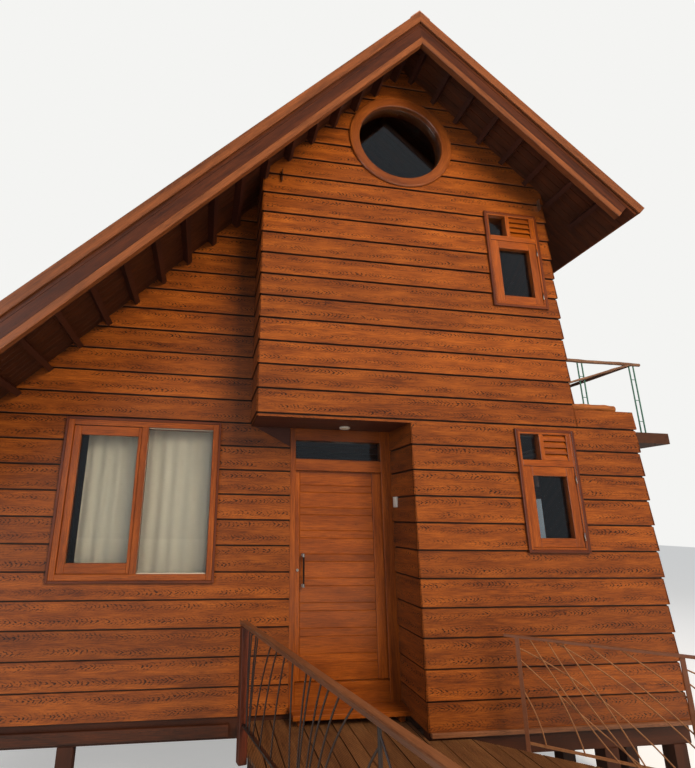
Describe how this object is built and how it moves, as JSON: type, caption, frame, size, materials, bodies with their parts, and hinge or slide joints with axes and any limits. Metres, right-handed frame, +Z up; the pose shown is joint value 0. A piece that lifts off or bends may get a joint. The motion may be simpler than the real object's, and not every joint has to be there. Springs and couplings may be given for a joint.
{
  "type": "raised timber cottage",
  "caption": "Raised two-storey timber-clad cottage with a steep long-sided gable roof, round gable window, recessed porch, side terrace and railed entrance deck on stilts.",
  "frame": {"origin": "centre of the bounding box in plan, at the lowest ground point under the stilts", "axes": "+X to the right along the front, +Y from the entrance towards the back, +Z up"},
  "size_m": [8.4524, 9.3404, 8.6573],
  "materials": {
    "wall_boards": "stained satin",
    "trim_wood": "varnished satin",
    "dark_wood": "stained matt",
    "deck_wood": "weathered matt",
    "branch_wood": "raw matt",
    "roof_covering": "bitumen sheet, matt",
    "frame_timber": "primed matt",
    "glass": "clear",
    "curtain": "plain weave",
    "steel": "satin",
    "dark_metal": "satin",
    "green_paint": "satin",
    "white_plastic": "gloss"
  },
  "bodies": {
    "house": {"ground_floor": "deck_wood", "floor_joists": "frame_timber", "floor_beams": "frame_timber", "stilts": "frame_timber", "skirt_boards": "trim_wood", "lower_front_wall": "wall_boards", "porch_return_wall": "dark_wood", "wing_front_wall": "wall_boards", "wing_side_wall": "wall_boards", "lower_back_wall": "wall_boards", "lower_right_wall": "wall_boards", "upper_front_wall": "wall_boards", "upper_side_walls": "wall_boards", "upper_back_wall": "wall_boards", "upper_floor": "deck_wood", "upper_joists": "dark_wood", "upper_beams": "dark_wood", "porch_ceiling": "dark_wood", "terrace_slab": "frame_timber", "roof_left": "roof_covering", "roof_right": "roof_covering", "ridge_cap": "dark_metal", "roof_purlins": "dark_wood", "barge_rafters": "trim_wood", "roof_trim": "trim_wood", "round_window_ring": "trim_wood", "small_window_frames": "trim_wood", "wing_window_frame": "trim_wood", "window_glass": "glass", "wing_curtain": "curtain", "door_frame": "trim_wood", "frame_hinges": "steel", "entry_step": "trim_wood", "porch_lamp": "white_plastic", "light_switch": "white_plastic", "deck_boards": "deck_wood", "deck_beams": "dark_wood", "left_railing": "dark_wood", "left_railing_rods": "dark_metal", "right_railing": "dark_wood", "right_railing_rods": "dark_metal", "terrace_posts": "green_paint", "branch_rails": "branch_wood", "parapet_log": "branch_wood", "cable_hooks": "steel"},
    "door": {"door_leaf": "trim_wood", "door_handle": "steel", "leaf_hinges": "steel"}
  },
  "joints": [
    {"name": "door_swing", "type": "hinge", "parent": "house", "child": "door", "pos_m": [0.99068, -1.28215, 2.151], "axis": [0, 0, -1], "range_deg": [0, 90]}
  ]
}
